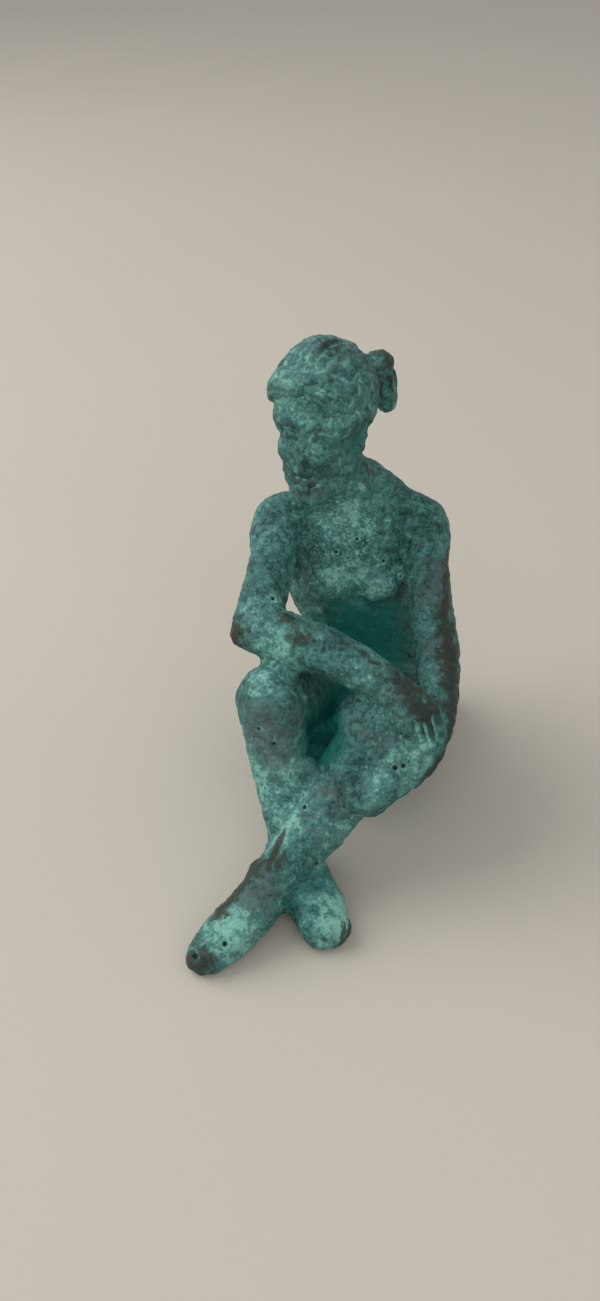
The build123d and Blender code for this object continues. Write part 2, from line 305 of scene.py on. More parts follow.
def dab(point, width, height):
    """Raises or presses in the surface about one point."""
    stroke([point, point + 1e-3], width, height)


def blur(values, width):
    """A Gaussian blur: width is its standard deviation in samples."""
    reach = max(1, int(round(width * 2.5)))
    weights = np.exp(-0.5 * (np.arange(-reach, reach + 1) / width) ** 2)
    weights = (weights / weights.sum()).astype(np.float32)
    for axis in range(3):
        padded = np.pad(values, [(reach, reach) if i == axis else (0, 0) for i in range(3)], mode="edge")
        total = np.zeros_like(values)
        for i, weight in enumerate(weights):
            cut = [slice(None)] * 3
            cut[axis] = slice(i, i + values.shape[axis])
            total += weight * padded[tuple(cut)]
        values = total
    return values


def noise(size):
    """Smooth random lumps, about size millimetres apart, between about -1 and 1."""
    counts = [int(n * VOXEL / size) + 3 for n in figure.shape]
    values = random.uniform(-1.0, 1.0, counts).astype(np.float32)
    for axis in range(3):
        place = np.arange(figure.shape[axis]) * VOXEL / size
        low = place.astype(int)
        part = (place - low).astype(np.float32)
        part = part * part * (3.0 - 2.0 * part)
        part = part.reshape([-1 if i == axis else 1 for i in range(3)])
        values = np.take(values, low, axis) * (1.0 - part) + np.take(values, low + 1, axis) * part
    return values


def as_grid(metal):
    grid = openvdb.FloatGrid(BAND)
    grid.transform = openvdb.createLinearTransform(VOXEL)
    grid.copyFromArray(np.clip(metal, -BAND, BAND), ijk=tuple(int(n) for n in figure.start))
    return grid


def fill_creases(reach):
    """Fills what a ball of that radius can't get into: the surface is moved out by reach and back again."""
    points, quads = as_grid(figure.metal - reach).convertToQuads(isovalue=0)
    outer = figure.distances({"points": points, "quads": quads})
    figure.metal = np.minimum(figure.metal, outer + reach)


def join_castings():
    """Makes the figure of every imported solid, its narrow gaps filled and its seams rounded off."""
    for node in CASTINGS + FITTINGS:
        np.minimum(figure.metal, figure.distances(surface_of(node)), out=figure.metal)
    fill_creases(CREASE)
    figure.metal = blur(figure.metal, SMOOTHING / VOXEL)


# ---- sculpting: trunk
def arc(points, count=9):
    """A smooth line through points."""
    points = np.array(points)
    places = np.linspace(0, len(points) - 1, count)
    curve = []
    for place in places:
        i = min(int(place), len(points) - 2)
        before, after = points[max(i - 1, 0)], points[min(i + 2, len(points) - 1)]
        t = place - i
        curve.append(0.5 * (2 * points[i] + (points[i + 1] - before) * t
                            + (2 * before - 5 * points[i] + 4 * points[i + 1] - after) * t * t
                            + (3 * points[i] - before - 3 * points[i + 1] + after) * t ** 3))
    return curve


def sweep(width, height, *points, count=9):
    """A stroke along a smooth line through points."""
    stroke(arc(points, count), width, height)


def sculpt_trunk():
    notch = body(-9, -13, 86.5)
    rod([NECK + at(4, 1, -1), body(5, -1.5, 86.5), SHOULDERS[1] + at(-2, 0, 6)], [5.5, 4, 3], 4)
    rod([NECK + at(-4, 1, -2), body(-19, -3, 86), SHOULDERS[-1] + at(3, 1, 4)], [5, 3.6, 3.4], 4)
    sweep(1.5, 0.7, notch + at(-1.5, 0, 0), body(-17, -12.5, 86.5), SHOULDERS[-1] + at(2, -5, 6))
    sweep(1.5, 0.7, notch + at(2, 0, 0), body(1, -11.5, 85.5), SHOULDERS[1] + at(-2, -5, 7))
    dab(notch, 1.8, -0.9)
    sweep(1.9, -0.5, body(-8.5, -14, 83), body(-7.6, -14.5, 72), body(-7.2, -14.5, 62))
    sweep(2, -0.5, body(-7.2, -14.5, 57), body(-6.2, -13.5, 50), body(-2, -12, 38))
    dab(body(-2.6, -12.5, 41), 1.2, -1.2)
    for x, side in ((-14.8, -1), (-0.2, 1)):
        middle = body(x, -11, 61.5)
        lump(middle + at(0, -0.4, -0.6), (6.2, 4.2, 5.4), 2.6)
        dab(middle + at(side * 0.4, -5, -0.6), 1, 0.5)
        sweep(1.2, -0.6, middle + at(-4.5, -1, -4.2), middle + at(0, -2.5, -6.2), middle + at(4.5, -1, -4.2))
        for rib in range(3):
            low = body(x + side * 3, -11, 52.5 - rib * 4)
            sweep(1.1, 0.28, low + at(-side * 5, -1.5, 2.5), low, low + at(side * 5, 3.5, -1))
    # the creases between the upper arms and the chest
    sweep(1.3, -1.1, body(-19.5, -11, 82), body(-21.8, -11.5, 73), body(-22.5, -9, 63))
    sweep(1.3, -1, body(5.5, -9.5, 81), body(8.2, -9.5, 72), body(9.2, -9, 60))
    # the back: spine, shoulder blades, waist, and the seat
    sweep(2.2, -1.1, NECK + at(1, 8, 2), body(-8.4, 10, 76), body(-6, 14, 56), body(-2, 14, 36),
          body(0, 18, 24))
    for side, x in ((-1, -18.5), (1, 3)):
        blade = body(x, 6.8, 70.5)
        lump(blade, (6, 3.6, 8.2), 3, axes(towards(blade, blade + at(1, -0.2 * side, 0)), UP))
        sweep(1.2, -0.6, blade + at(-side * 5, 3, 5), blade + at(-side * 4.2, 4, -3),
              blade + at(side, 3.5, -8.5))
        sweep(3, 0.5, body(-5 + side * 6, 12.5, 52), body(-2 + side * 6, 13, 40), body(side * 8, 15, 28))
        dab(body(side * 6.5, 17, 27), 1.8, -0.8)
        sweep(1.6, -0.8, body(side * 4, 18, 3), body(side * 12, 18.5, 2), body(side * 21, 13, 3))
    sweep(1.7, -2.4, body(0, 18.5, 25), body(0, 19.5, 15), body(0, 16, 3))
    # the web of metal between the thighs and the shins
    rod([body(-7, -20, 16), body(-12.5, -36, 21), body(-17, -50, 26), body(-19.5, -60, 26)],
        [13, 9, 5.5, 4], 4)
    lump(body(-16, -30, 5), (9, 9, 14.5), 2)


# ---- sculpting: legs and feet
def sculpt_leg(side):
    hip, knee, ankle = HIPS[side], KNEES[side], ANKLES[side]
    thigh, shin = towards(hip, knee), towards(knee, ankle)
    bend = towards(shin, thigh)  # the way that the bent knee points
    front = square(shin, bend)
    out = facing(np.cross(shin, front), LEFT * side)
    kneecap = knee + bend * 6
    lump(kneecap, (5, 4.6, 3.2), 2.6, axes(shin, bend))
    sweep(1, -0.45, kneecap - out * 5 - shin * 2, kneecap - out * 4.6 + shin * 4, kneecap + shin * 6.6,
          kneecap + out * 4.6 + shin * 4, kneecap + out * 5 - shin * 2)
    dab(knee + front * 8 + shin * 8.5, 1.8, 0.5)
    # the shin's edge, and the muscle on either side of it
    middle = between(knee, ankle) + front * 8.2 - out * 1.5
    edge = [knee + front * 8.6 + shin * 9, middle, ankle + front * 5.8]
    sweep(1.2, 0.55, *edge)
    sweep(1.4, -0.45, *(point + out * 2.8 for point in edge))
    sweep(1.3, -0.35, *(point - out * 2.6 for point in edge))
    calf = between(knee, ankle, 0.34)
    lump(calf - front * 4.5 + out * 2.6, (9.5, 4.4, 4.8), 3, axes(shin, front))
    lump(calf - front * 4.2 - out * 2.6 + shin * 1.5, (9, 4.2, 4.6), 3, axes(shin, front))
    if side > 0:
        lump(between(KNEES[-1], ANKLES[-1], 0.42) + at(7, -5, 0.5), (4.5, 4.5, 5.5), 2.5)
        sweep(3, -1.2, between(hip, knee, 0.6) + at(-11, -3, 2), knee + at(-10, -3, 0),
              knee + at(-13, -9, -9))
        under = square(shin, at(0.8, -0.1, -0.6))
        rod([knee + shin * 22.5 + under * 8.4, knee + shin * 31.4 + under * 7.3,
             knee + shin * 37 + under * 6.2], [3.9, 3.7, 3.2], 2.5)
    for way in (-1, 1):
        lump(ankle + out * way * 5.2, (2.2, 1.8, 2.2), 1.5, axes(shin, front))
    # the thigh's long muscles
    top = between(hip, knee, 0.45)
    over = square(thigh, UP)
    sweep(2, 0.45, top + over * 11.5 + out * 5, between(hip, knee, 0.75) + over * 9.8 + out * 4,
          knee + over * 8.5 + out * 4.5)
    sweep(1.5, -0.45, top + over * 10 + out * 9, between(hip, knee, 0.75) + over * 7 + out * 8.6,
          knee + over * 4 + out * 8)


def sculpt_foot(side):
    ankle, instep, ball, toe, heel = ANKLES[side], INSTEPS[side], BALLS[side], TOES[side], HEELS[side]
    along = towards(instep, toe)
    out = square(along, facing(np.cross(along, UP), LEFT * side))
    rod([ankle + UP * 1.5, instep + UP * 1, ball + UP * 0.6], [4.2, 4, 3.2], 3)
    rod([between(ankle, heel), heel + UP * 0.5, between(heel, ball, 0.6)], [5.6, 5.6, 4.6], 4)
    if side > 0:
        rod([ball - out * 1.8, toe - out * 2.2 + along * 3.4], [5.2, 4], 2.5)
        rod([ball + out * 1, toe + out * 0.4 + along * 1], [4.8, 3.6], 2.5)
        stroke([ball + out * 6.5 - along * 2, toe + out * 6 + along * 2], 2.6, -1.6)
    else:
        rod([ball + out * 2.6 - UP * 0.8, toe + out * 3.2 - along * 2.4], [5.4, 4.2], 2.5)
        rod([ball - out * 1.6 - UP * 0.8, toe - out * 1.2 - along * 2], [5, 4.2], 2.5)
        stroke([toe - out * 4 + along * 5.5, toe + out * 4 + along * 5.5], 2.6, -1.9)
    for i in range(-1, 3):
        place = out * (i - 0.5) * 2.6
        stroke([toe + place + UP * 3.2 - along * 0.5, toe + place + along * 5 + at(0, 0, -1)], 0.8, -0.55)
        sweep(0.8, 0.22, instep + place * 0.7 + UP * 5.6, ball + place + UP * 4.6)
    sweep(1.6, -0.4, heel + UP * 3 + out * 5, heel + at(0, 4, 5), heel + UP * 3 - out * 5)


# ---- sculpting: arms and hands
def sculpt_arm(side):
    shoulder, elbow, wrist = SHOULDERS[side], ELBOWS[side], WRISTS[side]
    upper, fore = towards(shoulder, elbow), towards(elbow, wrist)
    point = towards(fore, upper)  # the way that the elbow points
    out = square(upper, at(side, -0.2, 0))
    lump(shoulder + upper * 4 + out * 1.8, (8.6, 5.6, 5.8), 3, axes(upper, out))
    front = square(upper, FRONT)
    sweep(1.3, -0.5, shoulder + upper * 2 + front * 7.5, shoulder + upper * 12 + front * 4 + out * 6,
          shoulder + upper * 17 + out * 7)
    lump(between(shoulder, elbow, 0.62) + front * 2.4, (7.5, 4.6, 4.8), 2.5, axes(upper, front))
    lump(between(shoulder, elbow, 0.55) - front * 2.4, (8, 4.6, 4.8), 2.5, axes(upper, front))
    sweep(1.4, -0.45, between(shoulder, elbow, 0.35) + out * 7.2, between(shoulder, elbow, 0.85) + out * 6.8)
    dab(elbow + point * 6.6, 2.2, 0.7)
    for way in (-1, 1):
        across = square(point, out * way)
        dab(elbow + across * 6.6, 1.8, 0.4)
        dab(elbow + across * 4 + point * 5.4, 1.3, -0.45)
    over = square(fore, UP)
    beside = np.cross(fore, over)
    sweep(1.3, 0.5, elbow + over * 7 + fore * 5, between(elbow, wrist) + over * 7.4 + beside,
          wrist + over * 5)
    for aside, height, share, width in ((beside, -0.4, 0.5, 5.6), (-beside, -0.45, 0.55, 5.4)):
        sweep(1.2, height, elbow + over * 4 + aside * 6 + fore * 7,
              between(elbow, wrist, share) + over * 4.5 + aside * width, wrist + over * 3 + aside * 3.5)


def sculpt_hand(side):
    palm, knuckles, tips, across = PALMS[side], KNUCKLES[side], TIPS[side], ACROSS[side]
    away = towards(palm, knuckles)
    back = facing(np.cross(across, away), FRONT + UP)
    lump(between(WRISTS[side], knuckles, 0.55) + back * 0.6, (6.4, 5.2, 3.8), 2.2, axes(away, back))
    if side > 0:  # the hand lies over the outside of the knee
        knee = KNEES[side]
        rod([between(WRISTS[side], palm, 0.6), between(palm, knuckles, 0.4) - across * 2,
             tips - across * 3.5], [5.4, 5.6, 4.6], 3)
        lump(between(knee, knuckles, 0.62) + at(2, -2, 1.5), (7, 6, 6), 3)
        lump(between(knee, KNUCKLES[-1], 0.45) + at(0, -1, 0), (6, 5, 5), 3)
        lump(palm + at(-5.4, -0.5, 6.4), (4.2, 3.6, 3.6), 2)
        for place, half in ((at(9.4, -8.9, -14.1), 14), (at(3.3, -8.2, -13.6), 10)):  # its underside, trimmed
            lump(palm + place, (60, half, half), 1.2, axes(CUT_LINE, UP), carve=True)
        stroke([WRISTS[side] + at(2.5, -4.5, -5.5), knuckles + across * 5.5 + at(2, 0, -1),
                tips + across * 5], 2.6, -1.5)
    else:  # the hand hangs over the other wrist
        for place in FINGERS:
            spread = across * place * 3
            rod([palm + spread * 0.7 + back, knuckles + spread + back * 0.5, tips + spread * 0.85],
                [2.6, 2.5, 2.1], 1.2)
    for place in (-1, 0, 1):
        gap = across * place * 3
        sweep(0.7, -0.6, knuckles + gap + back * 2.8 - away * 1.5,
              between(knuckles, tips) + gap * 0.9 + back * 2.6, tips + gap * 0.85 + back * 2)
    for place in FINGERS:
        spread = across * place * 3
        dab(knuckles + spread + back * 3, 1.3, 0.55)
        dab(between(knuckles, tips) + spread * 0.9 + back * 2.6, 1, 0.35)
        stroke([palm + spread * 0.6 + back * 3.8, knuckles + spread + back * 3.2], 0.8, 0.3)


# ---- sculpting: head, face and hair
# The face is a plain classical one. Heights are from the middle of the head: the eyes half way from the chin
# to the crown, the nose's base half way from the eyes to the chin, the mouth a third of the way below it.
CHIN, CROWN = -20.4, 20.9
EYES = (CHIN + CROWN) / 2
NOSE_BASE = (EYES + CHIN) / 2
MOUTH = NOSE_BASE + (CHIN - NOSE_BASE) / 3


def head_line(*places):
    return [in_head(*place) for place in places]


def head_lump(place, halves, blend, carve=False):
    """A lump in the head's own axes."""
    lump(in_head(*place), halves, blend, HEAD_AXES, carve)


def eyelid(side, radius, *middle):
    """A lid from the eye's inner corner to its outer one, through some places between them."""
    places = ((2, -12.3, -0.4), *middle, (6.8, -10.9, -0.4))
    rod(arc(head_line(*((side * x, y, EYES + z) for x, y, z in places)), 13), [radius] * 13, 0.5)


def sculpt_face():
    brow = EYES + 3.6
    for side in (-1, 1):  # jaw and cheeks
        rod(head_line((side * 8.6, 0.5, EYES - 7), (side * 6.8, -4, CHIN + 7),
                      (side * 2.6, -9.6, CHIN + 3.2)), [3.2, 3, 2.6], 3.5)
        head_lump((side * 5, -8.2, EYES - 5.8), (3.6, 3.2, 3.8), 3.5)
        head_lump((side * 8, -7.4, EYES + 3.6), (3, 3.2, 4.2), 3)
    rod(head_line((0, -12.2, brow - 0.6), (0, -13.3, EYES - 2), (0, -14.6, NOSE_BASE + 2)),
        [1.3, 1.25, 1.6], 1.6)
    for side in (-1, 1):
        head_lump((side * 1.8, -13.9, NOSE_BASE + 1.1), (1.15, 1.5, 1.1), 0.8)
        head_lump((side * 4.4, -14.6, EYES + 0.5), (3.4, 2.3, 2.1), 1.8, carve=True)
        head_lump((side * 4.3, -10.7, EYES), (2.6, 2.3, 1.8), 0.5)
        eyelid(side, 0.5, (3, -12.9, 0.9), (4.4, -13, 1.3), (5.8, -12.2, 0.7))
        eyelid(side, 0.4, (3.2, -12.6, -1.4), (4.6, -12.5, -1.6), (5.9, -11.7, -1.2))
        ridge = head_line((side * 1.4, -13.2, brow - 0.4), (side * 4.4, -12.8, brow + 0.7),
                          (side * 7.6, -9.6, brow - 0.4))
        rod(arc(ridge), [0.9] * 9, 1.6)
        stroke(head_line((side * 3, -13.6, NOSE_BASE), (side * 4.6, -12.4, MOUTH + 0.4)), 0.9, -0.3)
        head_lump((side * 1.3, -13.2, MOUTH + 0.8), (2, 1.2, 0.85), 0.6)
    head_lump((0, -13, MOUTH - 1), (2.7, 1.25, 0.95), 0.7)
    line = head_line((-3.5, -11.8, MOUTH + 0.1), (-1.4, -14, MOUTH - 0.1), (0, -14.4, MOUTH + 0.05),
                     (1.4, -14, MOUTH - 0.1), (3.5, -11.8, MOUTH + 0.1))
    sweep(0.55, -0.8, *line, count=13)
    stroke(head_line((0, -14, NOSE_BASE - 0.8), (0, -14, MOUTH + 1.6)), 0.7, -0.3)
    sweep(1, -0.6, *head_line((-2.6, -12, MOUTH - 2.6), (0, -13.2, MOUTH - 2.9), (2.6, -12, MOUTH - 2.6)))
    head_lump((0, -10.8, CHIN + 2.9), (3.8, 2.8, 2.6), 2.2)


def on_skull(direction, lift):
    """The point of the skull in a direction from its middle, raised by lift."""
    return in_head(*(at(0, 2, 6) + unit(direction) * (at(12.5, 14.5, 14.9) + lift)))


def lock(start, end, lift, radius, wave, count=17):
    """A lock of hair over the skull, between two directions from its middle, waving from side to side."""
    start, end = unit(start), unit(end)
    side = unit(np.cross(start, end))
    swing, size = wave
    points, radii = [], []
    for share in np.linspace(0, 1, count):
        direction = unit(start * (1 - share) + end * share)
        direction = direction + side * size * np.sin(swing + share * 8.5) * np.sin(np.pi * share) ** 0.6
        points.append(on_skull(direction, lift * (0.55 + 0.45 * np.sin(np.pi * share))))
        radii.append(radius * (0.75 + 0.25 * np.sin(np.pi * min(share * 1.6, 1))))
    rod(points, radii, 0.45)


def sculpt_hair():
    gather = at(3.6, 9.5, 5.2)  # where the locks come together, from the skull's middle
    parting = at(2, -10.5, 9)
    # the crown, straight back from the hairline
    for i in range(8):
        x = -8.5 + i * 2.5
        start = at(x, -9.5 + abs(x - 1) * 0.35, 9 - abs(x - 1) * 0.14)
        lock(start, gather + at((x - 1) * 0.18, 0, 1.2), 0.1 + 0.3 * (i % 2), 1.6, (i * 1.7, 0.045))
    # the waves over the temples and the ears
    for side in (-1, 1):
        for i in range(6):
            share = i / 5
            start = parting + at(side * share * 2.5, share * 1.5, -share * 1.5)
            low = at(side * 11.5, -3 + share * 5, 3.5 - share * 9)
            lock(start, low, 1 - 0.3 * share, 1.9 - 0.25 * (i % 3), (i * 1.1 + side, 0.085), 15)
            lock(low, gather + at(0, 1.5, -share * 3.2), 0.7, 1.8 - 0.2 * (i % 2), (i * 1.3, 0.06), 13)
    # the nape
    for i in range(7):
        x = -9 + i * 3
        lock(at(x, 11, -9.5 + abs(x) * 0.25), gather + at(0, 1, -2), 0.4, 1.6, (i * 0.9, 0.04), 11)
    # the roll at the forehead, and the lumps where it turns
    for side, reach in ((-1, ((-2, -11.6, 13.4), (-6.2, -10.4, 12.8), (-9.8, -7, 11), (-11.4, -2.4, 7.4))),
                        (1, ((2.6, -11.8, 13.2), (6.2, -11, 10.2), (9.6, -8.2, 7.6), (11.4, -3.6, 3.6)))):
        line = head_line(*reach)
        rod(arc(line, 13), [1.7, 1.9, 2, 2, 2.1, 2.2, 2.2, 2.2, 2.3, 2.3, 2.2, 2, 1.6], 0.9)
        stroke([point + HEAD_AXES @ at(side * 0.6, -0.8, 1.4) for point in arc(line, 13)], 0.6, -0.5)
        stroke([point + HEAD_AXES @ at(side * 0.9, -1.4, -0.4) for point in arc(line, 13)], 0.5, -0.35)
    head_lump((-11, -4.6, 9.4), (2.6, 3.2, 3.2), 1.5)
    head_lump((5.6, 1.5, 18.6), (2, 2.2, 1.8), 1)


def sculpt_ponytail():
    along = towards(HAIR_ROOT, HAIR_TIE)
    over = square(along, UP)
    beside = np.cross(along, over)
    for i in range(9):
        turn = i * 2 * np.pi / 9
        ring = over * np.cos(turn) + beside * np.sin(turn)
        start = HAIR_ROOT - along * 3.5 + ring * 4.6
        rod([start, between(HAIR_ROOT, HAIR_TIE) + ring * 2.6, HAIR_TIE + ring * 2.4], [1.2, 1.05, 0.9], 0.45)
    down = towards(HAIR_TIE, HAIR_END)
    for i in range(7):
        turn = i * 2 * np.pi / 7
        ring = LEFT * np.cos(turn) + BACK * np.sin(turn)
        rod(arc([HAIR_TIE + UP * 2 + ring * 1.6, between(HAIR_TIE, HAIR_END, 0.3) + ring * 3,
                 between(HAIR_TIE, HAIR_END, 0.75) + ring * 2.6, HAIR_END + down * 1.2 + ring * 1.4]),
            [1.25] * 9, 0.4)
    lump(HAIR_TIE + UP * 1.2, (4, 3.8, 3.2), 1.2)


# ---- sculpting: the cast surface
def roughen():
    near = np.exp(-(figure.metal / 1.6) ** 2)
    figure.metal -= near * (noise(7) * 0.24 + noise(3.4) * 0.20)
    figure.metal -= near * (noise(1.7) * 0.25 + noise(0.95) * 0.18)


def pit(place, radius):
    """A pit with a raised rim, where a line through a place meets the metal. Returns its middle and radius.

    The line comes from the front and above, or for a place on the back from behind.
    """
    inward = PIT_LINE if place[1] < NECK[1] + 5 else FRONT
    place = place - inward * 20  # well outside the metal
    for _ in range(60):  # steps of most of the distance left, which end on the skin
        distance, _ = felt(place[None])
        place = place + inward * float(distance[0]) * 0.7
    dab(place, radius * 1.9, 0.5)
    dab(place, radius, -radius * 2)
    return place + inward * radius * 0.6, radius


def pit_all():
    """The pits that the casting left: a few large ones, which it returns, and many small over the skin."""
    shin = between(KNEES[1], ANKLES[1], 0.6)
    upper_arm = between(SHOULDERS[-1], ELBOWS[-1], 0.6)
    large = [pit(place, radius) for place, radius in (
        (PALMS[1] + at(-5.7, -4.7, 3.1), 1.1), (PALMS[1] + at(-3.6, -4.7, 3.9), 0.9),
        (TOES[1] + at(2.7, 8.4, -2.2), 1), (TOES[1] + at(-5, -4, 2.4), 1.2),
        (KNEES[-1] + at(1, -9, -8), 0.8), (KNEES[-1] + at(-3, -9, -3), 0.7),
        (body(-12, -14, 74), 0.8), (body(-6, -13.5, 78), 0.7), (body(2, -12.5, 70), 0.8),
        (INSTEPS[-1] + at(3, -2, 6), 0.9), (upper_arm + at(2, -8, 0), 0.8), (shin + at(-2, -4, 6), 0.9),
        (body(10, 14, 60), 0.9), (body(-14, 13, 30), 0.9))]
    skin_points, _ = skin()
    for place in skin_points[random.integers(0, len(skin_points), SMALL_PITS)]:
        dab(place, random.uniform(0.35, 0.85), -random.uniform(0.25, 0.75))
    return large


def sit():
    """Cuts the figure off at the plane that it sits on."""
    heights = figure.axes[2][None, None, :]
    figure.metal = np.maximum(figure.metal, GROUND_GAP - heights)


# ---- back from the field to one closed mesh for each casting
def components(count, a, b):
    """For each of count points, the lowest point that it is joined to by the edges from a to b."""
    root = np.arange(count)
    while True:
        low = np.minimum(root[a], root[b])
        joined = root.copy()
        np.minimum.at(joined, root[a], low)
        np.minimum.at(joined, root[b], low)
        joined = joined[joined]
        if (joined == root).all():
            return root
        root = joined


def renumbered(faces):
    """The numbers of the points that some faces use, and the faces with those points numbered from 0."""
    used = np.unique(faces)
    place = np.zeros(used[-1] + 1, int)
    place[used] = np.arange(len(used))
    return used, place[faces]


def skin():
    """The surface of the metal: its points, in millimetres, and its four-sided faces."""
    points, quads = as_grid(figure.metal).convertToQuads(isovalue=0)
    quads = quads.astype(int)
    a = np.concatenate([quads[:, 0], quads[:, 1], quads[:, 2]])
    b = np.concatenate([quads[:, 1], quads[:, 2], quads[:, 3]])
    root = components(len(points), a, b)
    largest = np.bincount(root).argmax()
    used, quads = renumbered(quads[root[quads[:, 0]] == largest])
    return points[used].astype(float), quads


def point_normals(points, quads):
    """Each point's normal: the mean of the normals of the faces round it, by their area."""
    corner = points[quads]
    normal = np.cross(corner[:, 2] - corner[:, 0], corner[:, 3] - corner[:, 1])
    total = np.zeros_like(points)
    for i in range(4):
        np.add.at(total, quads[:, i], normal)
    return total / np.maximum(np.linalg.norm(total, axis=1, keepdims=True), 1e-9)


def owners_of(points, quads):
    """The number of the casting that each face belongs to: the nearest, in one connected piece."""
    middles = points[quads].mean(axis=1)
    size, reach = 1.5, 15.0
    low = np.floor(middles.min(axis=0) / size).astype(int) - 1
    shape = tuple(int(n) for n in np.ceil(middles.max(axis=0) / size).astype(int) + 2 - low)
    distances = []
    for node in CASTINGS:
        values = distances_on_grid(surface_of(node), size, reach, low, shape)
        distances.append(sampled(values, middles / size - low))
    owner = np.argmin(distances, axis=0)
    for number in range(len(CASTINGS)):
        mine = np.flatnonzero(owner == number)
        faces = quads[mine]
        root = components(len(points), faces[:, :3].ravel(), faces[:, 1:].ravel())[faces[:, 0]]
        owner[mine[root != np.bincount(root).argmax()]] = -1
    while (owner < 0).any():  # an island goes to whatever is round it
        at_point = np.full(len(points), -1)
        for i in range(4):
            np.maximum.at(at_point, quads[:, i], owner)
        lost = owner < 0
        owner[lost] = at_point[quads[lost]].max(axis=1)
    return owner


def rims_of(quads):
    """The loops of points round the open edges of some faces, wound as the faces that close them must be."""
    starts, ends = quads.ravel(), np.roll(quads, -1, axis=1).ravel()
    count = int(quads.max()) + 1
    is_open = ~np.isin(ends * count + starts, starts * count + ends)
    follow = {}
    for start, end in zip(ends[is_open].tolist(), starts[is_open].tolist()):
        follow.setdefault(start, []).append(end)
    rims = []
    while follow:
        rim = [next(iter(follow))]
        while True:
            choices = follow[rim[-1]]
            following = choices.pop()
            if not choices:
                del follow[rim[-1]]
            if following == rim[0]:
                break
            rim.append(following)
        rims.append(rim)
    return rims


def sunk(places, depth):
    """Some places, moved down into the metal until they are as deep as depth."""
    distance, slope = felt(places.reshape(-1, 3))
    short = np.maximum(distance + np.broadcast_to(depth, places.shape[:-1]).ravel(), 0.0)
    return places - (slope * short[:, None]).reshape(places.shape)


def cap(rim):
    """Rings of points, each farther in than the last, and a middle, that close a rim inside the metal."""
    number = np.arange(1, RINGS + 1)[:, None]
    depth = np.minimum(number * CAP_STEP, CAP_DEPTH)
    middle = rim.mean(axis=0)
    rings = rim + (middle - rim) * (number / (RINGS + 1))[:, :, None]
    for _ in range(40):
        around = np.concatenate([rim[None], rings, np.broadcast_to(middle, (1, *rim.shape))])
        rings = (around[:-2] + around[2:] + np.roll(rings, 1, axis=1) + np.roll(rings, -1, axis=1)) / 4
        rings = sunk(rings, depth)
        middle = sunk(rings[-1].mean(axis=0), CAP_DEPTH)
    return rings, middle


def casting_mesh(node, points, quads, normals, tints):
    """One closed mesh: the faces of one casting, capped inside the metal where it meets the others."""
    used, quads = renumbered(quads)
    spots, sides, tips = [points[used]], [quads], []
    count = len(used)
    for rim in rims_of(quads):
        rings, middle = cap(points[used][rim])
        ring = np.concatenate([[rim], count + np.arange(RINGS * len(rim)).reshape(RINGS, -1)])
        onward = np.roll(ring, -1, axis=1)
        count += RINGS * len(rim) + 1
        sides.append(np.stack([ring[:-1], onward[:-1], onward[1:], ring[1:]], axis=-1).reshape(-1, 4))
        tips.append(np.stack([ring[-1], onward[-1], np.full(len(rim), count - 1)], axis=-1))
        spots += [rings.reshape(-1, 3), middle[None]]
    sides, tips = np.concatenate(sides), np.concatenate(tips)
    mesh = bpy.data.meshes.new("cast_" + node)
    mesh.vertices.add(count)
    mesh.vertices.foreach_set("co", (np.concatenate(spots) * MM).ravel())
    mesh.loops.add(sides.size + tips.size)
    mesh.loops.foreach_set("vertex_index", np.concatenate([sides.ravel(), tips.ravel()]))
    mesh.polygons.add(len(sides) + len(tips))
    mesh.polygons.foreach_set("loop_start", np.concatenate(
        [np.arange(len(sides)) * 4, sides.size + np.arange(len(tips)) * 3]))
    mesh.update(calc_edges=True)
    for name, values in tints.items():
        attribute = mesh.attributes.new(name, "FLOAT", "POINT")
        attribute.data.foreach_set("value", np.pad(values[used], (0, count - len(used))).astype(np.float32))
    mesh.polygons.foreach_set("use_smooth", [True] * len(mesh.polygons))
    extra = ((0, count - len(used)), (0, 0))
    mesh.normals_split_custom_set_from_vertices(np.pad(normals[used], extra).tolist())
    return mesh


# ---- tints: what the patina, the painted shade and the painted light follow, measured from the field at every point of the skin, or painted there
def curving(points, width, step=1):
    """How far each point stands out, from about -0.5 in a hollow to 0.5 on a ridge, as seen at that width."""
    coarse = figure.metal[::step, ::step, ::step]
    inside = np.clip(0.5 - coarse / (2.0 * VOXEL * step), 0.0, 1.0).astype(np.float32)
    soft = blur(inside, width / (VOXEL * step))
    place = points / (VOXEL * step) - figure.start / step
    return 0.5 - sampled(soft, place)


def painted(points, spots, lines=()):
    """How strongly each point is painted, by whatever paints it most.

    A spot is its middle, a radius and a strength. A line is its two ends, a radius and a strength.
    """
    total = np.zeros(len(points))
    for middle, radius, strength in spots:
        away = np.linalg.norm(points - middle, axis=1)
        total = np.maximum(total, strength * np.exp(-(away / radius) ** 2))
    for start, end, radius, strength in lines:
        away, _ = segment_distance(*points.T, start, end)
        total = np.maximum(total, strength * np.exp(-(away / radius) ** 2))
    return total


